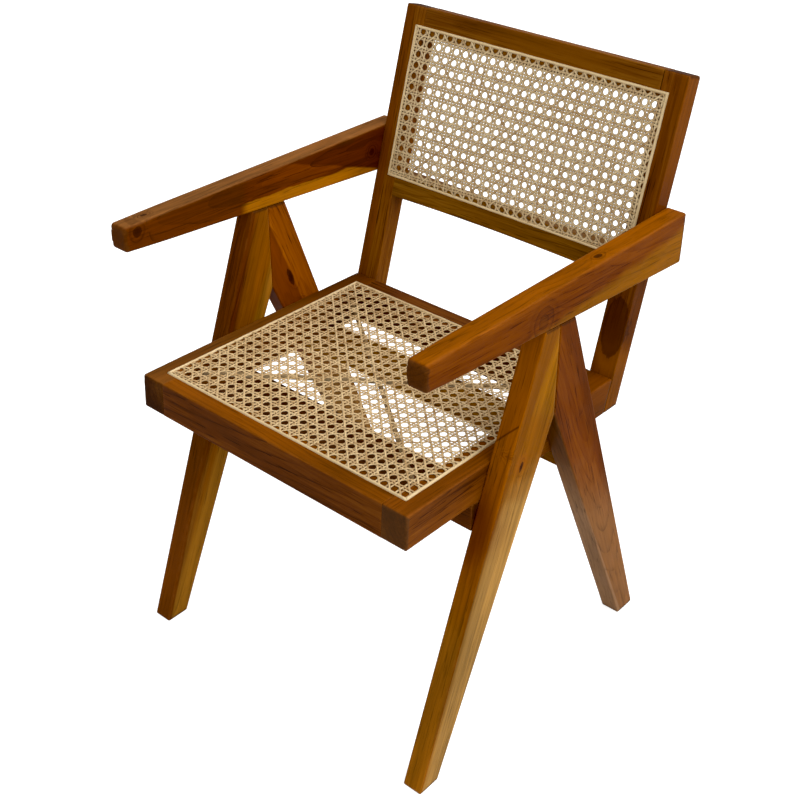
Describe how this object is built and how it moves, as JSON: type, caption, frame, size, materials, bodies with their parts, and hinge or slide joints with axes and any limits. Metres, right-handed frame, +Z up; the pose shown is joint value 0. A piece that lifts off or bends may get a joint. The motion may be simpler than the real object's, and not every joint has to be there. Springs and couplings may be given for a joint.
{
  "type": "cane armchair",
  "caption": "Fixed wooden armchair with V-shaped side legs, straight tapered arms and woven cane seat and back in a teak frame.",
  "frame": {"origin": "on the floor, under the middle of the chair's outline", "axes": "+Z up, the sitter faces -Y, +X is the sitter's left"},
  "size_m": [0.51, 0.5642, 0.8105],
  "materials": {
    "teak": "satin oiled, streaky golden-brown grain",
    "cane": "matt, pale beige-tan split cane",
    "spline": "satin, pale reed",
    "dowel": "matt",
    "steel": "dull"
  },
  "bodies": {
    "root": {"front_leg_left": "teak", "front_leg_right": "teak", "rear_leg_left": "teak", "rear_leg_right": "teak", "armrest_left": "teak", "armrest_right": "teak", "back_post_left": "teak", "back_post_right": "teak", "back_top_rail": "teak", "back_lower_rail": "teak", "seat_side_rail_left": "teak", "seat_side_rail_right": "teak", "seat_front_rail": "teak", "seat_back_rail": "teak", "front_stretcher": "teak", "rear_stretcher": "teak", "seat_cane": "cane", "back_cane": "cane", "seat_spline_front": "spline", "seat_spline_back": "spline", "seat_spline_left": "spline", "seat_spline_right": "spline", "back_spline_top": "spline", "back_spline_bottom": "spline", "back_spline_left": "spline", "back_spline_right": "spline", "support_strand_upper": "cane", "support_strand_lower": "cane", "leg_joint_dowels": "dowel", "arm_leg_dowels": "dowel", "arm_post_dowels": "dowel", "post_rail_dowels": "dowel", "seat_corner_dowels": "dowel", "back_frame_dowels": "dowel", "stretcher_dowels": "dowel", "leg_rail_screws": "steel"}
  },
  "joints": []
}
